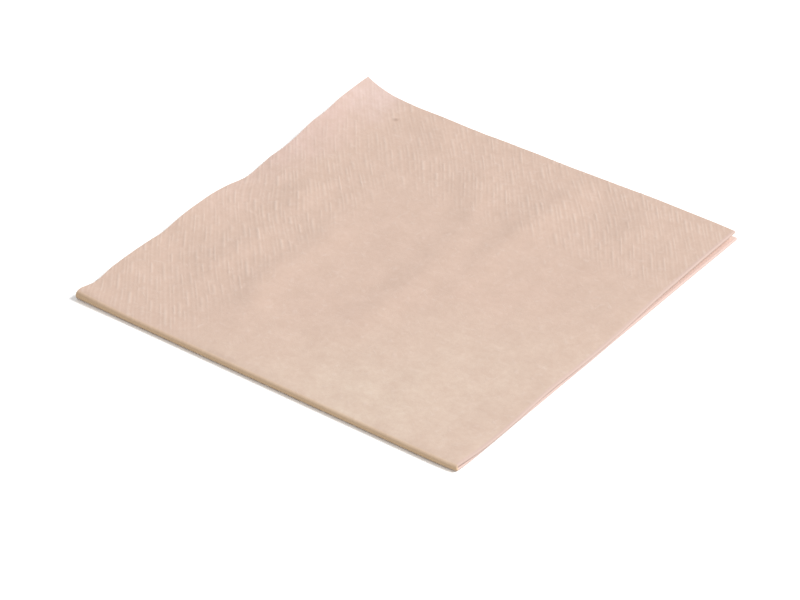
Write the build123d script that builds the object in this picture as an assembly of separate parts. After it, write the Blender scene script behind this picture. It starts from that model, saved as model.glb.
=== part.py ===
"""Paper napkin, folded in quarters: one sheet of soft two-ply tissue lying flat as four leaves.

Frame: +Z up, the lowest leaf on Z = 0, the origin under the middle of the folded napkin.
The first fold runs along Y on the +X side and shows as two rounded edges, one per pair of leaves.
The second fold, the spine, runs along X on the -Y side and wraps both pairs in one rounded edge.
The other two sides are cut edges, and the sheet's four corners lie free at (-X, +Y).
"""

import math
import os
from itertools import pairwise

from build123d import *

# The open sheet, in millimetres
SHEET_X = 318.0  # across the first fold
SHEET_Y = 330.0  # across the second fold
SHEET_THICKNESS = 0.4  # both plies together, creped and not pressed

# How tightly the sheet is folded, and how far each fold misses the middle of the sheet
PAIR_GAP = 0.25  # air between the two leaves of a pair
SPINE_GAP = 0.5  # air between the lower and the upper pair
FIRST_FOLD_MISS = 0.8  # the outer leaves are this much wider than the inner ones
SECOND_FOLD_MISS = 1.2  # the lower pair is this much longer than the upper one

# The upper pair springs open a little: its first fold stands this high at the end far from the spine
FOLD_SPRING = 1.8

# The cut edge of the upper pair at -X lifts in a strip of this width
CURL_WIDTH = 30.0

# That edge runs in a wave from the spine to the free corner: over a shoulder, a crest and a dip.
# Each length is measured on from the one before, and each rise is the top leaf's.
SHOULDER_LENGTH = 18.0
SHOULDER_RISE = 1.5
CREST_LENGTH = 45.0
CREST_RISE = 2.8
DIP_LENGTH = 30.0
DIP_RISE = 0.2
CORNER_RISE = 4.8
INNER_SHARE = 0.5  # the leaf under the top one lifts by this share of each rise
WAVE_STEPS = 12  # even steps from the spine to the free corner in which the wave is drawn

# A pair of leaves and the whole napkin, from the sizes above
pair_height = 2 * SHEET_THICKNESS + PAIR_GAP
fold_radius = pair_height / 2
napkin_height = 2 * pair_height + SPINE_GAP
spine_radius = napkin_height / 2
upper_base = pair_height + SPINE_GAP

# The straight run of a leaf is half of what the bend leaves of the sheet
first_fold_bend = math.pi * (PAIR_GAP + SHEET_THICKNESS) / 2
second_fold_bend = math.pi * (SPINE_GAP + pair_height) / 2
outer_run_x = (SHEET_X - first_fold_bend + FIRST_FOLD_MISS) / 2
lower_run_y = (SHEET_Y - second_fold_bend + SECOND_FOLD_MISS) / 2
upper_run_y = lower_run_y - SECOND_FOLD_MISS

# Where the runs begin and end, with the folded napkin centred on the origin
fold_x = (outer_run_x - fold_radius) / 2
outer_edge_x = fold_x - outer_run_x
inner_edge_x = outer_edge_x + FIRST_FOLD_MISS
curl_x = outer_edge_x + CURL_WIDTH
spine_y = (spine_radius - lower_run_y) / 2


def leaf_face(height, edge_x, fold_rise, edge_rise):
    """One face of a leaf from the first fold to the cut edge: straight, or curling up by edge_rise."""
    if edge_rise is None:
        return [Line((fold_x, height), (edge_x, height))]
    bend_x = (curl_x + edge_x) / 2
    bend_drop = fold_rise * (curl_x - bend_x) / (fold_x - curl_x)
    return [
        Line((fold_x, height + fold_rise), (curl_x, height)),
        Bezier((curl_x, height), (bend_x, height - bend_drop), (edge_x, height + edge_rise)),
    ]


def leaf_end(bottom, edge_x, edge_rise):
    """The cut end of a leaf, square across the sheet."""
    foot = bottom + (edge_rise or 0)
    return Line((edge_x, foot), (edge_x, foot + SHEET_THICKNESS))


def bend(start, end, radius):
    """Half round from one leaf of a pair to the other, bulging towards +X."""
    return ThreePointArc((fold_x, start), (fold_x + radius, (start + end) / 2), (fold_x, end))


def pair_section(y, base, lower_edge_x, upper_edge_x, fold_rise=0.0, lower_rise=None, upper_rise=None):
    """Two leaves joined by the first fold, drawn square to the spine's direction at y."""
    lower_top = base + SHEET_THICKNESS
    upper_bottom = lower_top + PAIR_GAP
    upper_top = base + pair_height
    outline = [
        *leaf_face(base, lower_edge_x, fold_rise, lower_rise),
        leaf_end(base, lower_edge_x, lower_rise),
        *leaf_face(lower_top, lower_edge_x, fold_rise, lower_rise),
        bend(lower_top + fold_rise, upper_bottom + fold_rise, PAIR_GAP / 2),
        *leaf_face(upper_bottom, upper_edge_x, fold_rise, upper_rise),
        leaf_end(upper_bottom, upper_edge_x, upper_rise),
        *leaf_face(upper_top, upper_edge_x, fold_rise, upper_rise),
        bend(upper_top + fold_rise, base + fold_rise, fold_radius),
    ]
    return Plane.XZ.offset(-y) * make_face(outline)


def lower_pair():
    """The two leaves that lie on the table, straight out from the spine."""
    return extrude(pair_section(spine_y, 0, outer_edge_x, inner_edge_x), lower_run_y, dir=(0, 1, 0))


def spine():
    """The second fold: the lower pair's section turned half round onto the upper pair."""
    turn_axis = Axis((0, spine_y, spine_radius), (-1, 0, 0))
    return revolve(pair_section(spine_y, 0, outer_edge_x, inner_edge_x), turn_axis, 180)


def edge_rise(run):
    """How high the cut edge stands at this run from the spine, easing between the wave's turning points."""
    crest_run = SHOULDER_LENGTH + CREST_LENGTH
    turning_points = [
        (0, 0),
        (SHOULDER_LENGTH, SHOULDER_RISE),
        (crest_run, CREST_RISE),
        (crest_run + DIP_LENGTH, DIP_RISE),
        (upper_run_y, CORNER_RISE),
    ]
    for (start, start_rise), (end, end_rise) in pairwise(turning_points):
        if run <= end:
            ease = (1 - math.cos(math.pi * (run - start) / (end - start))) / 2
            return start_rise + ease * (end_rise - start_rise)
    return CORNER_RISE


def upper_pair():
    """The two leaves on top: flat at the spine, waved along the cut edge, lifted at the free corner."""
    sections = []
    for step in range(WAVE_STEPS + 1):
        share = step / WAVE_STEPS
        rise = edge_rise(share * upper_run_y)
        y = spine_y + share * upper_run_y
        fold_rise = share * FOLD_SPRING
        sections.append(
            pair_section(y, upper_base, inner_edge_x, outer_edge_x, fold_rise, INNER_SHARE * rise, rise)
        )
    return loft(sections)


def main():
    napkin = lower_pair() + spine() + upper_pair()
    os.makedirs("parts", exist_ok=True)
    export_step(napkin, "parts/napkin.step")


main()
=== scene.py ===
"""Looks of a paper napkin folded in quarters: creped kraft tissue, with a hatch embossed along its edges.

The napkin is made as what it is: a flat sheet drawn on a lattice and folded twice by formula, with its real
thickness, two plies at its cut edges and the hatch as relief on the leaf that shows.
A place on the flat sheet is u across the first fold and v across the second one, the spine.
Lengths are in metres, unless a name ends in _MM.
"""

import math

import bpy
import numpy as np
from mathutils import Matrix, Quaternion, Vector, noise


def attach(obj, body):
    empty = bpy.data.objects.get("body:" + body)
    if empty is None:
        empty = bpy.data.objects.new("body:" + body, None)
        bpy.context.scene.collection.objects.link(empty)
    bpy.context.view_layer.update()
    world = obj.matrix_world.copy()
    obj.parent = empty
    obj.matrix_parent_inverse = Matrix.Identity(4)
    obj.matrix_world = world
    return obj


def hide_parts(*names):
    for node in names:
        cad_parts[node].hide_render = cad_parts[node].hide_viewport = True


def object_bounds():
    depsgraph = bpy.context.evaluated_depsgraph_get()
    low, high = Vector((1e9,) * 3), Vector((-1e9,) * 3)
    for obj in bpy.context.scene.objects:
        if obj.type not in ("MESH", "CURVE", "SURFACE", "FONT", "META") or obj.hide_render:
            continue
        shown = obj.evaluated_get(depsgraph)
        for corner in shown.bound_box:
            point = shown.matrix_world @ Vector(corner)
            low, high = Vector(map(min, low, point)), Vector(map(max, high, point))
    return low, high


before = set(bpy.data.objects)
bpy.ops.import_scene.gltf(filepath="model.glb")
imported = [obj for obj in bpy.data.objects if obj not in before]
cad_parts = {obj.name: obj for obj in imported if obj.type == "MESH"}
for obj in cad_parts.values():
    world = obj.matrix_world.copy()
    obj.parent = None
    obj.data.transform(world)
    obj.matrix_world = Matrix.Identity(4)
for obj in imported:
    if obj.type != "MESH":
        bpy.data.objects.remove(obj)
cad_low, cad_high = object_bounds()

MM = 0.001

# The sheet and its folds, as the solid has them
LEAF = 0.4 * MM
PAIR_GAP = 0.25 * MM
SPINE_GAP = 0.5 * MM
FIRST_FOLD_MISS = 0.8 * MM
SECOND_FOLD_MISS = 1.2 * MM
FOLD_SPRING = 1.8 * MM
CURL_WIDTH = 30.0 * MM
INNER_SHARE = 0.5

pair_height = 2 * LEAF + PAIR_GAP
fold_radius = pair_height / 2
fold_bend_radius = (PAIR_GAP + LEAF) / 2
spine_radius = (2 * pair_height + SPINE_GAP) / 2
spine_bend_radius = (SPINE_GAP + pair_height) / 2
first_bend = math.pi * fold_bend_radius
second_bend = math.pi * spine_bend_radius

# Where the folded leaves begin and end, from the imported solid's box
outer_edge_x = cad_low.x
fold_x = cad_high.x - fold_radius
curl_x = outer_edge_x + CURL_WIDTH
spine_y = cad_low.y + spine_radius
outer_run = fold_x - outer_edge_x
inner_run = outer_run - FIRST_FOLD_MISS
lower_run = cad_high.y - spine_y
upper_run = lower_run - SECOND_FOLD_MISS
sheet_u = outer_run + first_bend + inner_run
sheet_v = lower_run + second_bend + upper_run

# The wave of the top leaf's free cut edge: distance from the spine, how far it draws in, and its rise
EDGE_WAVE = [
    (0.0, 0.2 * MM, 1.0 * MM),
    (6.0 * MM, 1.1 * MM, 0.35 * MM),
    (18.0 * MM, 0.5 * MM, 0.9 * MM),
    (36.0 * MM, 0.5 * MM, 1.0 * MM),
    (44.0 * MM, 0.5 * MM, 0.6 * MM),
    (53.0 * MM, 0.2 * MM, 1.45 * MM),
    (62.0 * MM, 0.0, 1.7 * MM),
    (79.0 * MM, 0.2 * MM, 1.0 * MM),
    (89.0 * MM, 1.6 * MM, 0.2 * MM),
    (97.0 * MM, 1.0 * MM, 0.0),
    (104.0 * MM, 0.5 * MM, 0.3 * MM),
    (111.0 * MM, 1.1 * MM, 0.9 * MM),
    (119.0 * MM, 1.0 * MM, 1.7 * MM),
    (128.0 * MM, 0.3 * MM, 2.6 * MM),
    (138.0 * MM, 0.3 * MM, 3.2 * MM),
    (146.0 * MM, 0.0, 4.1 * MM),
    (upper_run, 0.0, 4.8 * MM),
]
CURL_POWER = (2.0, 3.5)  # how sharply the strip curls, at the spine and at the free corner

# How the first fold of the upper pair strays from its line: distance from the spine, outwards, and up
FOLD_STRAY = [
    (0.0, 0.0, 0.0),
    (13.0 * MM, 0.9 * MM, 0.0),
    (53.0 * MM, 0.6 * MM, 0.0),
    (70.0 * MM, 0.9 * MM, -0.2 * MM),
    (85.0 * MM, 0.7 * MM, -0.5 * MM),
    (114.0 * MM, 0.1 * MM, 0.1 * MM),
    (upper_run, 0.0, 0.0),
]
# How far into the leaf that stray reaches
STRAY_OUT_REACH = 11.0 * MM
STRAY_UP_REACH = 24.0 * MM

# How soft the leaves lie: the room that they take between the folds, and how fast they round over to a fold
PUFF = 0.14 * MM
ROUNDING = 1.3 * MM
CORNER_ROUNDING = 0.5 * MM
CORNER_REACH = 4.0 * MM
# Shares of the top leaf's relief in the inner leaf of the lower pair and in that of the upper pair
LOWER_INNER_LIFT = 0.3
UPPER_INNER_LIFT = 0.6

# Soft dents, creases and puckers of the leaves: size across and along the first fold, and height
RELIEF = [
    (36.0 * MM, 36.0 * MM, 0.28 * MM),
    (13.0 * MM, 17.0 * MM, 0.19 * MM),
    (6.0 * MM, 34.0 * MM, 0.06 * MM),
    (4.6 * MM, 5.4 * MM, 0.06 * MM),
]
# Long low swells of the leaves, side by side: distance from the spine, place across, and height
LONG_SWELLS_MM = [
    [(28, -56, 0), (46, -54, 0.7), (56, -51, 0.8), (75, -53, 0.3), (92, -56, 0.8), (108, -56, 0)],
    [(130, -36, 0), (150, -38, 0.5), (163, -40, 0)],
    [(12, -27, 0), (28, -28, 0.7), (44, -34, 0.9), (60, -33, 0.7), (76, -32, 0.8), (94, -33, 0)],
    [(16, 2, 0), (40, 6, 0.5), (58, 8, 0.8), (98, 5, 0.7), (116, 2, 0.5), (130, -8, 0.5), (163, -12, 0)],
    [(60, 27, 0), (78, 23, 0.5), (98, 20, 0.5), (120, 20, 0.8), (144, 21, 0.8), (163, 22, 0)],
    [(124, 50, 0), (146, 52, 0.7), (163, 54, 0)],
]
SWELL_WIDTH = 7.0 * MM

# How folds and cut edges wander from a straight line besides: length and reach of the wander
FOLD_WANDER = (26.0 * MM, 0.22 * MM)
CUT_WANDER = (21.0 * MM, 0.14 * MM)
FOLD_WANDER_WIDTH = 7.0 * MM

# Seeds of the noise, so that each layer of relief, fold, leaf and edge goes its own way
RELIEF_SEED = 7.3
WANDER_SEED = 0.5
PAIR_SEED = 3.1
LEAF_SEED = 1.7
FOLD_SEED = 11.0
END_SEED = 5.0

# The hatch embossed in the border
LINE_LEAN = math.radians(50.5)  # how far the lines turn from the u direction
LINE_PITCH = 1.46 * MM
LINE_REPEAT = 5  # lines in which strong and weak ones come round twice
LINE_SWING = 0.4
UNEVEN_LINES = (2.7, 0.15)  # lines after which they crowd again, and by how much of a pitch
SWAY_ALONG_U = (11.0 * MM, 0.8 * MM)  # length and reach of the lines' sway
SWAY_ALONG_V = (6.3 * MM, 0.35 * MM)
RIDGE_SHARPNESS = 1.5
DASH_SHORT = 5.0 * MM
DASH_LONG = 13.0 * MM
DASH_SOFT = 0.2
WEAKEST_DASH = -0.05  # the strongest is 1, and one below 0 is a faint groove
# Steps that spread lengths, starts and strengths evenly over the lines and their dashes
LENGTH_STEP = 0.5698402910
START_STEP = 0.7548776662
STRENGTH_STEP = (0.6180339887, 0.3247179572)
BORDER = 50.0 * MM
BORDER_SOFT = 13.0 * MM
CORNER_FADE = (0.5, 60.0 * MM)  # share of the hatch left at a corner of the sheet, and where it is whole
HATCH_HEIGHT = 0.17 * MM

# The lattice that the sheet is drawn on
CELL = 3.7 * MM
FINEST = 8  # parts that a cell of the hatched border is split into, each way
SMOOTHER = 2  # the same for the rest of the top leaf
BEND_STEPS = 12
NEAR_FOLD = [2.6 * MM, 1.3 * MM, 0.5 * MM]  # lattice lines beside a fold
SHARP_ANGLE = math.radians(38)

# The two plies at a cut edge: offset from the middle of the sheet as a share of its thickness, and reach
PLY_EDGE = [
    (0.28, 0.05 * MM),
    (0.06, 0.0),
    (0.0, -0.13 * MM),
    (-0.06, 0.0),
    (-0.28, 0.05 * MM),
]

# The tissue's plain colour, 0 to 255, and where it changes, from full to none: paler and yellower near the
# crossing of the folds, though less so beside the first fold, pinker at the sheet's corners and from there
# along its sides. The yellower tint is the tissue's own; the paleness near the crossing is painted light.
TISSUE_COLOUR = (230, 201, 184)
CROSSING_TINT_AND_PAINTED_LIGHT = (237, 216, 197)
CROSSING_TONE_MM = (50.0, 130.0)
BESIDE_FOLD_MM = (6.0, 40.0)
BESIDE_FOLD_SHARE = 0.5
SIDE_COLOUR = (236, 206, 198)
SIDE_TONE_MM = (1.0, 20.0)
SIDE_TONE_END_MM = (30.0, 110.0)
CORNER_COLOUR = (237, 212, 206)
CORNER_TONE_MM = (4.0, 22.0)
# Patches that blur those limits: how many come to a mm, how far they shift the crossing's limit, and the
# share of that by which they shift the side's
PATCHES_PER_MM = 0.03
PATCH_SHIFT_MM = 60.0
SIDE_PATCH_SHARE = 0.3

# Light and shade painted at the folds: paler inside the first fold, painted light that comes through the
# leaves;
# pink on its bend, a painted highlight on the lower pair and quieter, painted shade, on the upper one;
# tan on the spine, painted warm light that bounces between and through the leaves in its shade
INSIDE_PAINTED_LIGHT = (245, 219, 206)
INSIDE_TONE_MM = (3.0, 14.0)
INSIDE_START_MM = 0.5
LOWER_FOLD_PAINTED_HIGHLIGHT = (241, 215, 205)
UPPER_FOLD_PAINTED_SHADE = (225, 198, 186)
FIRST_FOLD_TONE_MM = (0.5, 1.4)
PAIR_CHANGE_MM = 1.0
SPINE_PAINTED_BOUNCE_LIGHT = (253, 217, 176)
SPINE_TONE_MM = (0.1, 1.3)

# Marks on the tissue, laid over it in turn: how far each covers it, and its colour; the last two are
# painted shade in the hatch's grooves and a painted highlight on its ridges
CLOUD = (0.5, (213, 184, 166))
GRAIN = (0.4, (213, 184, 166))
FLECKS = (0.22, (238, 216, 204))
SHORT_FIBRES = (0.25, (240, 222, 209))
LONG_FIBRES = (0.35, (243, 226, 214))
# Painted shade in the hatch's grooves, then a painted highlight on its ridges
PAINTED_GROOVE_SHADE = (0.09, (198, 166, 148))
PAINTED_RIDGE_HIGHLIGHT = (0.38, (241, 222, 209))
# Bark specks: those all over the sheet, and a larger soft one near the free corner
BARK_COLOUR = (120, 84, 62)
SPECK_COVER = 0.75
LARGE_SPECK_COVER = 0.34
LARGE_SPECK_PLACE_MM = (21.3, 318.3)
LARGE_SPECK_SIZE_MM = (0.2, 1.4)

# How the marks are drawn: how many come to a mm, and the levels of noise that they span
CLOUDS_PER_MM = 0.13
GRAINS_PER_MM = 0.48
FLECKS_PER_MM = 0.34
MIDDLE_LEVELS = (0.3, 0.7)
FLECK_LEVELS = (0.62, 0.74)
SPECKS_PER_MM = 0.11
SPECK_SIZE = 0.05
SPECK_RARENESS = 0.026
CREPE_STRETCH = (3.2, 0.30, 1.0)
FIBRE_STRETCH = (2.4, 0.16, 1.0)
FIBRE_LAYERS = [(0.35, 0.0), (1.45, 31.0), (2.55, 67.0)]  # how each layer is turned, and shifted in mm
FIBRE_TOP_LEVEL = 0.80
SHORT_FIBRE = {"Size": 1.0, "Rareness": 0.60}
LONG_FIBRE = {"Size": 2.2, "Rareness": 0.66}
FIBRE_END = {"Size": 0.45, "Rareness": 0.52}

# Height of the marks, and how matt the tissue is
CREPE_BUMP_MM = 0.024
GRAIN_BUMP_MM = 0.03
FLECK_BUMP_MM = 0.03
SHORT_FIBRE_BUMP_MM = 0.012
LONG_FIBRE_BUMP_MM = 0.02
RIDGE_BUMP_MM = 0.03
FIBRE_END_BUMP_MM = 0.03
TISSUE_ROUGHNESS = 0.86
CLOUD_ROUGHNESS = 0.08
RIDGE_ROUGHNESS = -0.08
EDGE_ROUGHNESS = 0.92
EDGE_GRAIN_ROUGHNESS = 0.06
SPECULAR = 0.25
SHEEN = 0.1
SHEEN_ROUGHNESS = 0.6

# The cut edges' colours
EDGE_COLOUR = (228, 203, 189)
EDGE_CLOUD_COLOUR = (214, 186, 169)
FIBRE_ENDS = (0.5, (242, 225, 213))

# The stage
FLOOR_SIZE = 4.0
FLOOR_DROP = 0.02 * MM
FLOOR_WHITE = 1.45  # as the camera sees the floor, also in a mirror or through glass
FLOOR_BOUNCE = 0.55  # as light bounces off it onto the napkin
SKY_LIGHT = 0.48
KEY_WATTS = 366.0
KEY_SIZE = 3.0
KEY_PLACE = Vector((4.06, 2.84, 4.94))

# The photograph's view: a long lens, with the napkin's middle a little above and right of the picture's
VIEW_AZIMUTH = math.radians(36.407)
VIEW_ELEVATION = math.radians(35.305)
VIEW_ROLL = math.radians(0.429)
VIEW_DISTANCE = 1.3015
PICTURE_WIDTH_PX = 800
FOCAL_PX = 3800
MIDDLE_RIGHT_PX = 9.34
MIDDLE_ABOVE_PX = 35.84
SENSOR_MM = 36.0
NEAREST_SEEN = 0.05
FARTHEST_SEEN = 20.0


# The sheet's shape


def eased(run, turning_points, column=1):
    """One column of the turning points at this run, on a smooth curve through all of them."""
    places = np.array([point[0] for point in turning_points])
    values = np.array([point[column] for point in turning_points])
    slopes = np.gradient(values, places)
    slopes[[0, -1]] = 0
    before = np.clip(np.searchsorted(places, run) - 1, 0, len(places) - 2)
    after = before + 1
    length = places[after] - places[before]
    share = np.clip((run - places[before]) / length, 0, 1)
    rest = 1 - share
    leaving = rest**2 * ((1 + 2 * share) * values[before] + share * length * slopes[before])
    arriving = share**2 * ((1 + 2 * rest) * values[after] - rest * length * slopes[after])
    return leaving + arriving


def upper_lift(x, run, first_turned):
    """How far the upper pair stands up: it springs open at the first fold and curls at the cut edge."""
    spring = FOLD_SPRING * run / upper_run
    towards_fold = spring * eased(x, [(curl_x, 0.0), (fold_x, 1.0)])
    curl = np.clip((curl_x - x) / CURL_WIDTH, 0, None)
    power = CURL_POWER[0] + (CURL_POWER[1] - CURL_POWER[0]) * run / upper_run
    rise = eased(run, EDGE_WAVE, column=2) * (1 - (1 - INNER_SHARE) * first_turned)
    return towards_fold + curl**power * rise


def swells(x, y):
    """Height of the soft relief at each place: the long swells, and noise of several sizes."""
    height = np.zeros_like(x)
    for crest_mm in LONG_SWELLS_MM:
        crest = MM * np.array(crest_mm)
        off_crest = (x - eased(y - spine_y, crest)) / SWELL_WIDTH
        height += eased(y - spine_y, crest, column=2) * np.exp(-off_crest**2)
    for layer, (size_x, size_y, rise) in enumerate(RELIEF):
        seed = RELIEF_SEED * layer
        spots = [noise.noise(Vector((a, b, seed))) for a, b in zip(x / size_x, y / size_y)]
        height += rise * np.array(spots)
    return height


def wander(along, seed, length_and_reach):
    """A slow stray to either side along a fold or an edge."""
    length, reach = length_and_reach
    spots = [noise.noise(Vector((a, b, WANDER_SEED))) for a, b in zip(along / length, seed)]
    return reach * np.array(spots)


def hatch_ridges(u, v):
    """How far the hatch stands up, as a share of its height: broken ridges in a border along the edges."""
    (sway_u, reach_u), (sway_v, reach_v) = SWAY_ALONG_U, SWAY_ALONG_V
    swayed = u * math.sin(LINE_LEAN) + v * math.cos(LINE_LEAN)
    swayed = swayed + reach_u * np.sin(u / sway_u) + reach_v * np.sin(v / sway_v)
    across = swayed / LINE_PITCH
    across = across + UNEVEN_LINES[1] * np.sin(2 * np.pi * across / UNEVEN_LINES[0])
    line = np.round(across)
    ridge = ((1 + np.cos(2 * np.pi * (across - line))) / 2) ** RIDGE_SHARPNESS
    line_strength = 1 - LINE_SWING * (1 - np.cos(4 * np.pi * line / LINE_REPEAT)) / 2

    length = DASH_SHORT + (DASH_LONG - DASH_SHORT) * np.mod(LENGTH_STEP * line, 1)
    along = (u * math.cos(LINE_LEAN) - v * math.sin(LINE_LEAN)) / length + START_STEP * line
    dash = np.floor(along)
    ends = np.minimum(along - dash, 1 - along + dash)
    dash_strength = np.mod(STRENGTH_STEP[0] * dash + STRENGTH_STEP[1] * line, 1)
    dash_strength = WEAKEST_DASH + (1 - WEAKEST_DASH) * dash_strength

    from_edges = np.minimum(u, sheet_u - u), np.minimum(v, sheet_v - v)
    border = np.clip((BORDER - np.minimum(*from_edges)) / BORDER_SOFT, 0, 1)
    by_corner = np.clip(np.maximum(*from_edges) / CORNER_FADE[1], 0, 1)
    border = border * (CORNER_FADE[0] + (1 - CORNER_FADE[0]) * by_corner)
    return ridge * line_strength * dash_strength * np.clip(ends / DASH_SOFT, 0, 1) * border


def folded(u, v, offset):
    """Where a point of the flat sheet comes to lie, this far from its middle towards the outer side."""
    # The first fold lays one half of the sheet on the other
    past_fold = u - outer_run
    turn = np.clip(past_fold / fold_bend_radius, 0, np.pi)
    first_turned = (1 - np.cos(turn)) / 2
    radius = fold_bend_radius + offset
    x = fold_x + radius * np.sin(turn) + np.minimum(past_fold, 0) - np.maximum(past_fold - first_bend, 0)
    height = fold_radius - radius * np.cos(turn)

    # The spine lays the upper pair of leaves on the lower one
    past_spine = v - lower_run
    turn = np.clip(past_spine / spine_bend_radius, 0, np.pi)
    second_turned = (1 - np.cos(turn)) / 2
    run = np.maximum(past_spine - second_bend, 0)
    radius = spine_radius - height
    y = spine_y - radius * np.sin(turn) - np.minimum(past_spine, 0) + run
    z = spine_radius - radius * np.cos(turn)

    # The leaves lie softly between the folds, and the upper pair stands up
    from_fold = np.maximum(np.maximum(-past_fold, past_fold - first_bend), 0)
    from_spine = np.maximum(np.maximum(-past_spine, past_spine - second_bend), 0)
    free = (1 - np.exp(-from_fold / ROUNDING)) * (1 - np.exp(-from_spine / ROUNDING))
    in_lower = LOWER_INNER_LIFT * first_turned
    in_upper = 1 - (1 - UPPER_INNER_LIFT) * first_turned
    share = in_lower + (in_upper - in_lower) * second_turned
    z = z + second_turned * upper_lift(x, run, first_turned)
    z = z + share * free * (PUFF + swells(x, y))

    # Folds and cut edges stray from their lines
    near_fold = np.exp(-from_fold / FOLD_WANDER_WIDTH) * np.clip(from_spine / FOLD_WANDER_WIDTH, 0, 1)
    corner = CORNER_ROUNDING * np.exp(-(from_fold + from_spine) / CORNER_REACH)
    leaf_seed = PAIR_SEED * second_turned + LEAF_SEED * np.round(first_turned)
    by_side = np.exp(-np.minimum(u, sheet_u - u) / CURL_WIDTH)
    by_end = np.exp(-np.minimum(v, sheet_v - v) / CURL_WIDTH)
    z = z + second_turned * eased(run, FOLD_STRAY, column=2) * np.exp(-from_fold / STRAY_UP_REACH)
    x = x + second_turned * eased(run, FOLD_STRAY) * np.exp(-from_fold / STRAY_OUT_REACH) - corner
    x = x + second_turned * eased(run, EDGE_WAVE) * np.exp(-u / CURL_WIDTH)
    x = x + near_fold * wander(y, FOLD_SEED + PAIR_SEED * second_turned, FOLD_WANDER)
    x = x + by_side * wander(y, leaf_seed, CUT_WANDER)
    y = y + by_end * wander(x, END_SEED + leaf_seed, CUT_WANDER) + corner
    return np.stack([x, y, z], axis=1)


# The mesh


def lattice_lines(first_leaf, bend, second_leaf):
    """Places of the lattice lines across one fold: even on the leaves, close in and beside the bend."""

    def leaf_lines(length):
        cells = round((length - NEAR_FOLD[0]) / CELL)
        even = np.linspace(0, length - NEAR_FOLD[0], cells + 1)
        return np.concatenate([even, [length - gap for gap in NEAR_FOLD[1:]]])

    total = first_leaf + bend + second_leaf
    in_bend = first_leaf + bend * np.linspace(0, 1, BEND_STEPS + 1)
    return np.concatenate([leaf_lines(first_leaf), in_bend, total - leaf_lines(second_leaf)[::-1]])


def cell_parts(u_lines, v_lines):
    """Into how many parts each cell of the outer side is split: most on the top leaf's hatched border."""
    middle_u = (u_lines[:-1] + u_lines[1:])[:, None] / 2
    middle_v = (v_lines[:-1] + v_lines[1:])[None, :] / 2
    on_top = (middle_u < outer_run) & (middle_v > lower_run + second_bend)
    in_border = on_top & ((middle_u < BORDER) | (sheet_v - middle_v < BORDER))
    return np.where(in_border, FINEST, np.where(on_top, SMOOTHER, 1))


class SheetSide:
    """One side of the sheet: its lattice places, shared between the faces that meet there."""

    def __init__(self, parts, first_index):
        self.parts = parts
        self.first_index = first_index
        self.index_of = {}
        self.faces = []
        for i, j in np.ndindex(parts.shape):
            self.split_cell(i, j)

    def vertex(self, a, b):
        return self.index_of.setdefault((a, b), self.first_index + len(self.index_of))

    def parts_beside(self, i, j, own):
        """Parts of the next cell, where that is split finer than this one."""
        inside = 0 <= i < self.parts.shape[0] and 0 <= j < self.parts.shape[1]
        return max(own, self.parts[i, j]) if inside else own

    def line(self, start, end, step):
        """The vertices from start up to, but without, end."""
        (a, b), (c, d) = start, end
        count = max(abs(c - a), abs(d - b)) // step
        return [self.vertex(a + (c - a) * k // count, b + (d - b) * k // count) for k in range(count)]

    def split_cell(self, i, j):
        """Draws a cell's faces, with extra corners where the next cell is split finer."""
        own = self.parts[i, j]
        step = FINEST // own
        below, above = self.parts_beside(i, j - 1, own), self.parts_beside(i, j + 1, own)
        before, after = self.parts_beside(i - 1, j, own), self.parts_beside(i + 1, j, own)
        last = FINEST - step
        for p in range(0, FINEST, step):
            for q in range(0, FINEST, step):
                a, b = i * FINEST + p, j * FINEST + q
                c, d = a + step, b + step
                self.faces.append(
                    self.line((a, b), (c, b), FINEST // below if q == 0 else step)
                    + self.line((c, b), (c, d), FINEST // after if p == last else step)
                    + self.line((c, d), (a, d), FINEST // above if q == last else step)
                    + self.line((a, d), (a, b), FINEST // before if p == 0 else step)
                )

    def places(self, u_lines, v_lines):
        """u and v of every vertex, in the order of their numbers."""
        keys = np.array(list(self.index_of))
        fine_u = np.interp(keys[:, 0] / FINEST, np.arange(len(u_lines)), u_lines)
        fine_v = np.interp(keys[:, 1] / FINEST, np.arange(len(v_lines)), v_lines)
        return fine_u, fine_v

    def rim_stretch(self, start, end):
        """The vertices along one lattice cell of the rim, both ends included."""
        (a, b), (c, d) = start, end
        shares = range(FINEST + 1)
        spots = [(a + (c - a) * k // FINEST, b + (d - b) * k // FINEST) for k in shares]
        return [self.index_of[spot] for spot in spots if spot in self.index_of]


def rim_places(u_count, v_count):
    """Lattice places round the sheet's four cut edges in turn, each with the way out of the sheet."""
    last_a, last_b = u_count * FINEST, v_count * FINEST
    around = [(i * FINEST, 0) for i in range(u_count)]
    around += [(last_a, j * FINEST) for j in range(v_count)]
    around += [(i * FINEST, last_b) for i in range(u_count, 0, -1)]
    around += [(0, j * FINEST) for j in range(v_count, 0, -1)]
    ways = [(int(a == last_a) - int(a == 0), int(b == last_b) - int(b == 0)) for a, b in around]
    return around, ways


def rim_faces(outer, inner, around, first_ring):
    """Faces of the rim: from the outer side over the rings of the two plies to the inner side."""
    count = len(around)
    rings = [first_ring + count * ring for ring in range(len(PLY_EDGE))]
    faces = []
    for k in range(count):
        after = (k + 1) % count
        on_outer = outer.rim_stretch(around[k], around[after])
        on_inner = inner.rim_stretch(around[k], around[after])
        faces.append([rings[0] + k, rings[0] + after] + on_outer[::-1])
        for ring, next_ring in zip(rings, rings[1:]):
            faces.append([ring + after, ring + k, next_ring + k, next_ring + after])
        faces.append([rings[-1] + after, rings[-1] + k] + on_inner)
    return faces


def outer_offset(u, v):
    """How far the outer side lies from the middle of the sheet, with the hatch on the leaf that shows."""
    on_top = (u < outer_run) & (v > lower_run + second_bend)
    by_fold = np.clip((outer_run - u) / BORDER_SOFT, 0, 1)
    by_spine = np.clip((v - lower_run - second_bend) / BORDER_SOFT, 0, 1)
    ridges = on_top * by_fold * by_spine * hatch_ridges(u, v)
    return LEAF / 2 + HATCH_HEIGHT * ridges


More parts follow.
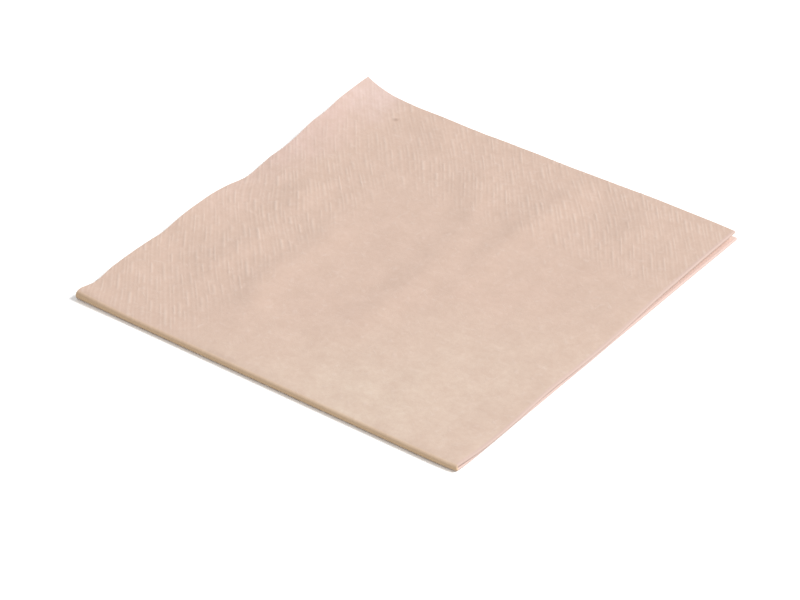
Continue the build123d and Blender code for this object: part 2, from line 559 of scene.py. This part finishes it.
def fold_napkin():
    """The folded sheet as one closed mesh: outer side, inner side and the rim of two plies between."""
    u_lines = lattice_lines(outer_run, first_bend, inner_run)
    v_lines = lattice_lines(lower_run, second_bend, upper_run)
    parts = cell_parts(u_lines, v_lines)
    outer = SheetSide(parts, 0)
    inner = SheetSide(np.ones_like(parts), len(outer.index_of))
    outer_u, outer_v = outer.places(u_lines, v_lines)
    inner_u, inner_v = inner.places(u_lines, v_lines)
    places = [
        (outer_u, outer_v, outer_offset(outer_u, outer_v)),
        (inner_u, inner_v, np.full_like(inner_u, -LEAF / 2)),
    ]
    around, ways = rim_places(*parts.shape)
    rim_u = u_lines[[a // FINEST for a, _ in around]]
    rim_v = v_lines[[b // FINEST for _, b in around]]
    out_u, out_v = np.array(ways, float).T
    for share, reach in PLY_EDGE:
        places.append((rim_u + reach * out_u, rim_v + reach * out_v, np.full_like(rim_u, share * LEAF)))
    u, v, offset = (np.concatenate(part) for part in zip(*places))

    faces = outer.faces + [face[::-1] for face in inner.faces]
    rim_start = len(faces)
    faces += rim_faces(outer, inner, around, len(outer.index_of) + len(inner.index_of))
    mesh = bpy.data.meshes.new("folded_napkin")
    mesh.from_pydata(folded(u, v, offset), [], faces)
    mesh.polygons.foreach_set("use_smooth", np.ones(len(faces), bool))
    material_of = np.zeros(len(faces), np.int32)
    material_of[rim_start:] = 1
    mesh.polygons.foreach_set("material_index", material_of)

    corner_vertex = np.empty(len(mesh.loops), np.int32)
    mesh.loops.foreach_get("vertex_index", corner_vertex)
    on_sheet = np.stack([u, v], axis=1).astype(np.float32)
    sheet_map = mesh.uv_layers.new(name="sheet")
    sheet_map.uv.foreach_set("vector", on_sheet[corner_vertex].ravel())
    mesh.validate()
    mesh.set_sharp_from_angle(angle=SHARP_ANGLE)
    napkin = bpy.data.objects.new("folded_napkin", mesh)
    bpy.context.scene.collection.objects.link(napkin)
    return napkin


# The finish


def srgb(levels):
    """A colour as picked on a screen, 0 to 255, in the linear values that shaders take."""

    def linear(level):
        level /= 255
        return level / 12.92 if level <= 0.04045 else ((level + 0.055) / 1.055) ** 2.4

    return (*map(linear, levels), 1.0)


def grey(level):
    """A neutral colour in the linear values that shaders take."""
    return (level, level, level, 1.0)


class Wiring:
    """Places nodes in a tree and joins them by socket."""

    def __init__(self, tree):
        self.tree = tree

    def node(self, kind, inputs=None, **settings):
        made = self.tree.nodes.new(kind)
        for name, value in settings.items():
            setattr(made, name, value)
        for name, value in (inputs or {}).items():
            self.feed(made.inputs[name], value)
        return made

    def feed(self, socket, value):
        if isinstance(value, bpy.types.NodeSocket):
            self.tree.links.new(value, socket)
        else:
            socket.default_value = value

    def math(self, operation, *values):
        made = self.tree.nodes.new("ShaderNodeMath")
        made.operation = operation
        for socket, value in zip(made.inputs, values):
            self.feed(socket, value)
        return made.outputs["Value"]

    def between(self, value, low, high):
        """value as a share of the way from low to high, kept within 0 and 1."""
        ranged = self.node("ShaderNodeMapRange", {"Value": value, "From Min": low, "From Max": high})
        return ranged.outputs["Result"]

    def near(self, distance, reach):
        """1 up to the first distance of reach, falling to 0 at the second."""
        return self.between(distance, reach[1], reach[0])

    def noise(self, place, scale, detail=2.0, roughness=0.5, distortion=0.0):
        inputs = {
            "Vector": place,
            "Scale": scale,
            "Detail": detail,
            "Roughness": roughness,
            "Distortion": distortion,
        }
        return self.node("ShaderNodeTexNoise", inputs).outputs["Fac"]

    def stretched(self, place, turn, scale):
        """place turned about the sheet's normal and then scaled, for marks that run one way."""
        inputs = {"Vector": place, "Rotation": (0, 0, turn), "Scale": scale}
        return self.node("ShaderNodeMapping", inputs, vector_type="TEXTURE").outputs["Vector"]

    def vector_math(self, operation, first, second):
        return self.node("ShaderNodeVectorMath", {0: first, 1: second}, operation=operation).outputs

    def mix(self, share, first, second):
        """Two colours mixed. The node's colour sockets go by number, because their names come twice."""
        mixed = self.node("ShaderNodeMix", {0: share, 6: first, 7: second}, data_type="RGBA")
        return mixed.outputs[2]


def effect(name, inputs, outputs):
    """An empty shader group with these sockets, and the wiring to fill it."""
    group = bpy.data.node_groups.new(name, "ShaderNodeTree")
    for label, kind in inputs:
        group.interface.new_socket(label, in_out="INPUT", socket_type=kind)
    for label in outputs:
        group.interface.new_socket(label, in_out="OUTPUT", socket_type="NodeSocketFloat")
    wiring = Wiring(group)
    taken = wiring.node("NodeGroupInput").outputs
    given = wiring.node("NodeGroupOutput").inputs
    return group, wiring, taken, given


def tissue_grain():
    """Clouds, grain, pale flecks, bark specks and creping of tissue, from a place on the sheet in mm."""
    group, wires, taken, given = effect(
        "tissue grain",
        [("Place", "NodeSocketVector")],
        ["Cloud", "Grain", "Flecks", "Specks", "Crepe"],
    )
    place = taken["Place"]
    cloud = wires.noise(place, CLOUDS_PER_MM, detail=4.0, roughness=0.6)
    wires.feed(given["Cloud"], wires.between(cloud, *MIDDLE_LEVELS))
    grain = wires.noise(place, GRAINS_PER_MM, detail=3.0, roughness=0.6)
    wires.feed(given["Grain"], wires.between(grain, *MIDDLE_LEVELS))
    flecks = wires.noise(place, FLECKS_PER_MM, detail=1.0)
    wires.feed(given["Flecks"], wires.between(flecks, *FLECK_LEVELS))

    cells = {"Vector": place, "Scale": SPECKS_PER_MM, "Randomness": 1.0}
    spots = wires.node("ShaderNodeTexVoronoi", cells).outputs
    picked = wires.node("ShaderNodeSeparateColor", {"Color": spots["Color"]}).outputs["Red"]
    size = wires.math("MULTIPLY_ADD", picked, SPECK_SIZE, -SPECK_RARENESS)
    wires.feed(given["Specks"], wires.math("LESS_THAN", spots["Distance"], size))

    ripples = wires.stretched(place, 0.0, CREPE_STRETCH)
    crepe = wires.noise(ripples, 1.0, detail=3.0, roughness=0.6, distortion=0.4)
    wires.feed(given["Crepe"], crepe)
    return group


def loose_fibres():
    """Single fibres lying every way, as a mask over the sheet, from a place in mm."""
    group, wires, taken, given = effect(
        "loose fibres",
        [("Place", "NodeSocketVector"), ("Size", "NodeSocketFloat"), ("Rareness", "NodeSocketFloat")],
        ["Fibres"],
    )
    finer = wires.math("DIVIDE", 1.0, taken["Size"])
    fibres = None
    for turn, shift in FIBRE_LAYERS:
        moved = wires.vector_math("ADD", taken["Place"], (shift, shift, 0.0))["Vector"]
        lying = wires.stretched(moved, turn, FIBRE_STRETCH)
        strand = wires.noise(lying, finer, detail=1.0, distortion=0.5)
        strand = wires.between(strand, taken["Rareness"], FIBRE_TOP_LEVEL)
        fibres = strand if fibres is None else wires.math("MAXIMUM", fibres, strand)
    wires.feed(given["Fibres"], fibres)
    return group


def hatch_lines(wires, u, v):
    """The hatch's broken ridges and the grooves between them, from u and v in mm, in step with the mesh."""
    lean_sine, lean_cosine = math.sin(LINE_LEAN), math.cos(LINE_LEAN)
    swayed = wires.math("MULTIPLY_ADD", u, lean_sine, wires.math("MULTIPLY", v, lean_cosine))
    for way, (sway, reach) in ((u, SWAY_ALONG_U), (v, SWAY_ALONG_V)):
        swing = wires.math("SINE", wires.math("DIVIDE", way, sway / MM))
        swayed = wires.math("MULTIPLY_ADD", swing, reach / MM, swayed)
    across = wires.math("DIVIDE", swayed, LINE_PITCH / MM)
    crowding = wires.math("SINE", wires.math("MULTIPLY", across, 2 * math.pi / UNEVEN_LINES[0]))
    across = wires.math("MULTIPLY_ADD", crowding, UNEVEN_LINES[1], across)
    line = wires.math("ROUND", across)
    off_line = wires.math("SUBTRACT", across, line)
    ridge = wires.math("COSINE", wires.math("MULTIPLY", off_line, 2 * math.pi))
    ridge = wires.math("MULTIPLY_ADD", ridge, 0.5, 0.5)
    groove = wires.math("SUBTRACT", 1.0, ridge)
    ridge = wires.math("POWER", ridge, RIDGE_SHARPNESS)
    swing = wires.math("COSINE", wires.math("MULTIPLY", line, 4 * math.pi / LINE_REPEAT))
    line_strength = wires.math("MULTIPLY_ADD", swing, LINE_SWING / 2, 1 - LINE_SWING / 2)

    length = wires.math("FRACT", wires.math("MULTIPLY", line, LENGTH_STEP))
    length = wires.math("MULTIPLY_ADD", length, (DASH_LONG - DASH_SHORT) / MM, DASH_SHORT / MM)
    along = wires.math("MULTIPLY_ADD", u, lean_cosine, wires.math("MULTIPLY", v, -lean_sine))
    along = wires.math("MULTIPLY_ADD", line, START_STEP, wires.math("DIVIDE", along, length))
    dash = wires.math("FLOOR", along)
    from_start = wires.math("SUBTRACT", along, dash)
    ends = wires.math("MINIMUM", from_start, wires.math("SUBTRACT", 1.0, from_start))
    by_line = wires.math("MULTIPLY", line, STRENGTH_STEP[1])
    dash_strength = wires.math("FRACT", wires.math("MULTIPLY_ADD", dash, STRENGTH_STEP[0], by_line))
    dash_strength = wires.math("MULTIPLY_ADD", dash_strength, 1 - WEAKEST_DASH, WEAKEST_DASH)
    for share in (line_strength, dash_strength, wires.between(ends, 0.0, DASH_SOFT)):
        ridge = wires.math("MULTIPLY", ridge, share)
    return ridge, groove


def hatched_border():
    """The hatch as masks over the sheet, from a place in mm, with the distances from its sides and ends."""
    group, wires, taken, given = effect(
        "hatched border",
        [("Place", "NodeSocketVector")],
        ["Ridges", "Groove Shade", "From Side", "From End"],
    )
    place = wires.node("ShaderNodeSeparateXYZ", {"Vector": taken["Place"]}).outputs
    u, v = place["X"], place["Y"]
    from_side = wires.math("MINIMUM", u, wires.math("SUBTRACT", sheet_u / MM, u))
    from_end = wires.math("MINIMUM", v, wires.math("SUBTRACT", sheet_v / MM, v))
    by_corner = wires.between(wires.math("MAXIMUM", from_side, from_end), 0.0, CORNER_FADE[1] / MM)
    by_corner = wires.math("MULTIPLY_ADD", by_corner, 1 - CORNER_FADE[0], CORNER_FADE[0])
    from_edge = wires.math("MINIMUM", from_side, from_end)
    border = wires.between(from_edge, BORDER / MM, (BORDER - BORDER_SOFT) / MM)
    border = wires.math("MULTIPLY", border, by_corner)
    ridge, groove = hatch_lines(wires, u, v)
    wires.feed(given["Ridges"], wires.math("MULTIPLY", ridge, border))
    wires.feed(given["Groove Shade"], wires.math("MULTIPLY", border, groove))
    wires.feed(given["From Side"], from_side)
    wires.feed(given["From End"], from_end)
    return group


def new_material(name):
    material = bpy.data.materials.new(name)
    material.use_nodes = True
    material.node_tree.nodes.clear()
    return material, Wiring(material.node_tree)


def use(wires, group, **inputs):
    """A shader group placed in a material, with these inputs fed, and its outputs."""
    placed = wires.node("ShaderNodeGroup", node_tree=group)
    for name, value in inputs.items():
        wires.feed(placed.inputs[name], value)
    return placed.outputs


def sheet_place(wires):
    """The place on the flat sheet, in mm."""
    on_sheet = wires.node("ShaderNodeUVMap", uv_map="sheet").outputs["UV"]
    in_mm = wires.node("ShaderNodeVectorMath", {0: on_sheet, "Scale": 1 / MM}, operation="SCALE")
    return in_mm.outputs["Vector"]


def past_folds(wires, place):
    """How far a place lies past the first fold and past the spine, on the sheet and in mm."""
    spot = wires.node("ShaderNodeSeparateXYZ", {"Vector": place}).outputs
    past_first = wires.math("SUBTRACT", spot["X"], (outer_run + first_bend / 2) / MM)
    past_spine = wires.math("SUBTRACT", spot["Y"], (lower_run + second_bend / 2) / MM)
    return past_first, past_spine


def surface(wires, colour, roughness, height):
    """A matt surface of this colour and roughness, with bumps of this height in mm."""
    bump = wires.node("ShaderNodeBump", {"Strength": 1.0, "Distance": MM, "Height": height})
    inputs = {
        "Base Color": colour,
        "Roughness": roughness,
        "Normal": bump.outputs["Normal"],
        "Specular IOR Level": SPECULAR,
        "Sheen Weight": SHEEN,
        "Sheen Roughness": SHEEN_ROUGHNESS,
    }
    shader = wires.node("ShaderNodeBsdfPrincipled", inputs)
    wires.node("ShaderNodeOutputMaterial", {"Surface": shader.outputs["BSDF"]})


def tone_and_painted_light(wires, place, from_first, from_spine, from_side, from_end):
    """The tissue's colour: yellower, and paler as painted light, near the crossing of the folds, pinker at
    its corners and sides.
    """
    patches = wires.noise(place, PATCHES_PER_MM, detail=3.0)
    patches = wires.math("MULTIPLY_ADD", patches, PATCH_SHIFT_MM, -PATCH_SHIFT_MM / 2)
    # Painted light: the top is paler towards the crossing of the folds, less so beside the first fold,
    # along with the tissue's yellower tint there
    from_crossing = wires.math("ADD", wires.math("ADD", from_first, from_spine), patches)
    off_fold = wires.between(from_first, *BESIDE_FOLD_MM)
    off_fold = wires.math("MULTIPLY_ADD", off_fold, 1 - BESIDE_FOLD_SHARE, BESIDE_FOLD_SHARE)
    crossing_tint_and_light = wires.math("MULTIPLY", wires.near(from_crossing, CROSSING_TONE_MM), off_fold)
    past_side = wires.math("MULTIPLY_ADD", patches, SIDE_PATCH_SHARE, from_side)
    by_end = wires.near(from_end, SIDE_TONE_END_MM)
    by_side = wires.math("MULTIPLY", wires.near(past_side, SIDE_TONE_MM), by_end)
    by_corner = wires.near(wires.math("MAXIMUM", from_side, from_end), CORNER_TONE_MM)
    colour = wires.mix(crossing_tint_and_light, srgb(TISSUE_COLOUR), srgb(CROSSING_TINT_AND_PAINTED_LIGHT))
    colour = wires.mix(by_side, colour, srgb(SIDE_COLOUR))
    return wires.mix(by_corner, colour, srgb(CORNER_COLOUR))


def fold_painted_light(wires, colour, past_first, past_spine, from_first, from_spine):
    """The colour with light and shade painted in: paler inside the first fold, a painted highlight and
    shade on its bend, and warm painted light on the spine.
    """
    # Painted light: paler inside the first fold, where light comes through the leaves
    inside = wires.near(past_first, INSIDE_TONE_MM)
    inside = wires.math("MULTIPLY", inside, wires.between(past_first, 0.0, INSIDE_START_MM))
    colour = wires.mix(inside, colour, srgb(INSIDE_PAINTED_LIGHT))
    # Painted light on the first fold's bend: a pink highlight on the lower pair, dimmed by painted shade on
    # the upper pair
    on_upper = wires.between(past_spine, -PAIR_CHANGE_MM, PAIR_CHANGE_MM)
    bend_painted_light = wires.mix(on_upper, srgb(LOWER_FOLD_PAINTED_HIGHLIGHT), srgb(UPPER_FOLD_PAINTED_SHADE))
    colour = wires.mix(wires.near(from_first, FIRST_FOLD_TONE_MM), colour, bend_painted_light)
    # Painted light on the spine: a warm, brighter tan for light bounced between and through the leaves in
    # its shade
    return wires.mix(wires.near(from_spine, SPINE_TONE_MM), colour, srgb(SPINE_PAINTED_BOUNCE_LIGHT))


def bark_specks(wires, place, small_specks):
    """How far bark covers the tissue: the small specks, and the large one near the free corner."""
    from_large = wires.vector_math("DISTANCE", place, (*LARGE_SPECK_PLACE_MM, 0.0))["Value"]
    large = wires.math("MULTIPLY", wires.near(from_large, LARGE_SPECK_SIZE_MM), LARGE_SPECK_COVER)
    small = wires.math("MULTIPLY", small_specks, SPECK_COVER)
    return wires.math("MAXIMUM", small, large)


def kraft_tissue(grain, fibres, border):
    """The faces of the sheet: unbleached tissue, pinker here and paler there, hatched along its edges, with
    light and shade painted into its colour near the folds and on the hatch.
    """
    material, wires = new_material("kraft tissue")
    place = sheet_place(wires)
    look = use(wires, grain, Place=place)
    short_fibres = use(wires, fibres, Place=place, **SHORT_FIBRE)["Fibres"]
    long_fibres = use(wires, fibres, Place=place, **LONG_FIBRE)["Fibres"]
    hatch = use(wires, border, Place=place)
    past_first, past_spine = past_folds(wires, place)
    from_first = wires.math("ABSOLUTE", past_first)
    from_spine = wires.math("ABSOLUTE", past_spine)

    colour = tone_and_painted_light(wires, place, from_first, from_spine, hatch["From Side"], hatch["From End"])
    marks = [
        (look["Cloud"], CLOUD),
        (look["Grain"], GRAIN),
        (look["Flecks"], FLECKS),
        (short_fibres, SHORT_FIBRES),
        (long_fibres, LONG_FIBRES),
        # Painted shade in the hatch's grooves and a painted highlight on its ridges
        (hatch["Groove Shade"], PAINTED_GROOVE_SHADE),
        (hatch["Ridges"], PAINTED_RIDGE_HIGHLIGHT),
    ]
    for mask, (cover, mark_colour) in marks:
        colour = wires.mix(wires.math("MULTIPLY", mask, cover), colour, srgb(mark_colour))
    colour = fold_painted_light(wires, colour, past_first, past_spine, from_first, from_spine)
    colour = wires.mix(bark_specks(wires, place, look["Specks"]), colour, srgb(BARK_COLOUR))

    roughness = wires.math("MULTIPLY_ADD", look["Cloud"], CLOUD_ROUGHNESS, TISSUE_ROUGHNESS)
    roughness = wires.math("MULTIPLY_ADD", hatch["Ridges"], RIDGE_ROUGHNESS, roughness)
    height = wires.math("MULTIPLY", look["Crepe"], CREPE_BUMP_MM)
    bumps = [
        (look["Grain"], GRAIN_BUMP_MM),
        (look["Flecks"], FLECK_BUMP_MM),
        (short_fibres, SHORT_FIBRE_BUMP_MM),
        (long_fibres, LONG_FIBRE_BUMP_MM),
        (hatch["Ridges"], RIDGE_BUMP_MM),
    ]
    for mask, bump in bumps:
        height = wires.math("MULTIPLY_ADD", mask, bump, height)
    surface(wires, colour, roughness, height)
    return material


def cut_edge(grain, fibres):
    """The cut edges of the two plies, with fibre ends standing out."""
    material, wires = new_material("cut edge")
    place = sheet_place(wires)
    look = use(wires, grain, Place=place)
    ends = use(wires, fibres, Place=place, **FIBRE_END)["Fibres"]
    cover, end_colour = FIBRE_ENDS
    colour = wires.mix(look["Cloud"], srgb(EDGE_COLOUR), srgb(EDGE_CLOUD_COLOUR))
    colour = wires.mix(wires.math("MULTIPLY", ends, cover), colour, srgb(end_colour))
    roughness = wires.math("MULTIPLY_ADD", look["Grain"], EDGE_GRAIN_ROUGHNESS, EDGE_ROUGHNESS)
    height = wires.math("MULTIPLY", look["Grain"], GRAIN_BUMP_MM)
    height = wires.math("MULTIPLY_ADD", ends, FIBRE_END_BUMP_MM, height)
    surface(wires, colour, roughness, height)
    return material


# The stage


def lay_floor():
    """A plain white floor under the napkin."""
    half = FLOOR_SIZE / 2
    corners = [(-half, -half, 0), (half, -half, 0), (half, half, 0), (-half, half, 0)]
    mesh = bpy.data.meshes.new("floor")
    mesh.from_pydata(corners, [], [(0, 1, 2, 3)])
    floor = bpy.data.objects.new("floor", mesh)
    floor.location.z = -FLOOR_DROP
    bpy.context.scene.collection.objects.link(floor)
    material, wires = new_material("white floor")
    seen = wires.node("ShaderNodeBsdfDiffuse", {"Color": grey(FLOOR_WHITE)}).outputs["BSDF"]
    bounced = wires.node("ShaderNodeBsdfDiffuse", {"Color": grey(FLOOR_BOUNCE)}).outputs["BSDF"]
    rays = wires.node("ShaderNodeLightPath").outputs
    in_view = wires.math("MAXIMUM", rays["Is Glossy Ray"], rays["Is Transmission Ray"])
    in_view = wires.math("MAXIMUM", rays["Is Camera Ray"], in_view)
    matt = wires.node("ShaderNodeMixShader", {0: in_view, 1: bounced, 2: seen})
    wires.node("ShaderNodeOutputMaterial", {"Surface": matt.outputs["Shader"]})
    mesh.materials.append(material)


def light_stage():
    """Soft light from all round, and a softbox to the right as the key."""
    world = bpy.data.worlds.new("studio")
    world.use_nodes = True
    world.node_tree.nodes.clear()
    wires = Wiring(world.node_tree)
    sky = wires.node("ShaderNodeBackground", {"Color": grey(1.0), "Strength": SKY_LIGHT})
    wires.node("ShaderNodeOutputWorld", {"Surface": sky.outputs["Background"]})
    bpy.context.scene.world = world
    lamp = bpy.data.lights.new("key", "AREA")
    lamp.shape = "DISK"
    lamp.size = KEY_SIZE
    lamp.energy = KEY_WATTS
    key = bpy.data.objects.new("key", lamp)
    key.location = KEY_PLACE
    key.rotation_mode = "QUATERNION"
    key.rotation_quaternion = KEY_PLACE.to_track_quat("Z", "Y")
    bpy.context.scene.collection.objects.link(key)
    bpy.context.scene.view_settings.view_transform = "Standard"


def place_camera():
    """The camera where the photograph was taken from."""
    sine, cosine = math.sin(VIEW_AZIMUTH), math.cos(VIEW_AZIMUTH)
    across = math.cos(VIEW_ELEVATION)
    back = Vector((sine * across, -cosine * across, math.sin(VIEW_ELEVATION)))
    right = Quaternion(back, VIEW_ROLL) @ Vector((cosine, sine, 0))
    up = back.cross(right)
    middle = Vector((0, (cad_low.y + cad_high.y - SECOND_FOLD_MISS) / 2, 2 * spine_radius))
    pixel = VIEW_DISTANCE / FOCAL_PX
    lens = bpy.data.cameras.new("camera")
    lens.sensor_width = SENSOR_MM
    lens.lens = SENSOR_MM * FOCAL_PX / PICTURE_WIDTH_PX
    lens.clip_start = NEAREST_SEEN
    lens.clip_end = FARTHEST_SEEN
    camera = bpy.data.objects.new("camera", lens)
    aim = middle - right * MIDDLE_RIGHT_PX * pixel - up * MIDDLE_ABOVE_PX * pixel
    camera.location = aim + back * VIEW_DISTANCE
    camera.rotation_mode = "QUATERNION"
    camera.rotation_quaternion = Matrix((right, up, back)).transposed().to_quaternion()
    bpy.context.scene.collection.objects.link(camera)
    bpy.context.scene.camera = camera


place_camera()
light_stage()
lay_floor()

napkin = fold_napkin()
grain = tissue_grain()
fibres = loose_fibres()
napkin.data.materials.append(kraft_tissue(grain, fibres, hatched_border()))
napkin.data.materials.append(cut_edge(grain, fibres))
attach(napkin, "root")
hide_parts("napkin")
